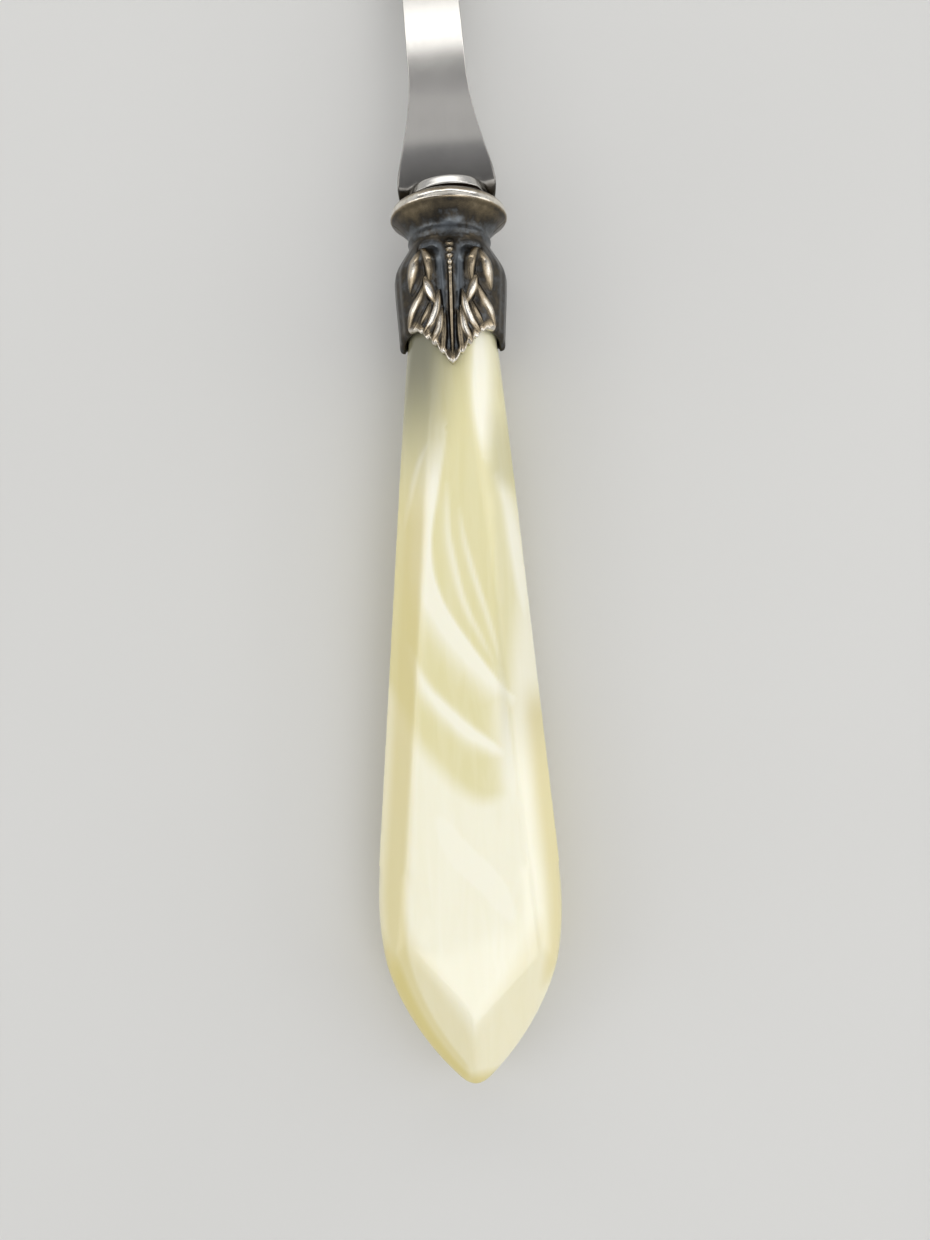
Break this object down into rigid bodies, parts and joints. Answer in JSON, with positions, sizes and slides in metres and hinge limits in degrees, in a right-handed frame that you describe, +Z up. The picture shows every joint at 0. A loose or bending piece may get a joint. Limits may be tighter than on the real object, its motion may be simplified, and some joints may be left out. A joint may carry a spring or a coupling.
{
  "type": "dinner fork",
  "caption": "Dinner fork with a faceted pearl celluloid handle, a stamped ferrule of acanthus leaves and a flared steel neck, for eating at table.",
  "frame": {"origin": "on the table under the middle of the fork's bounding box", "axes": "+Y along the fork towards the tine tips, +Z up from the table with the tines' hollow side up, +X to the right with the tines pointing away"},
  "size_m": [0.0278, 0.2054, 0.0172],
  "materials": {
    "polished_steel": "forged steel, polished bright with faint wear",
    "plated_brass": "stamped sheet brass, silver plated, darkened in the hollows and worn bright on the ribs",
    "cutlers_cement": "matt red brown resin and brick dust cement",
    "pearl_celluloid": "polished ivory and cream celluloid with flowing pearl bands"
  },
  "bodies": {
    "root": {"fork": "polished_steel", "ferrule_front": "plated_brass", "ferrule_back": "plated_brass", "ferrule_cement": "cutlers_cement", "tang_cement": "cutlers_cement", "handle": "pearl_celluloid"}
  },
  "joints": []
}
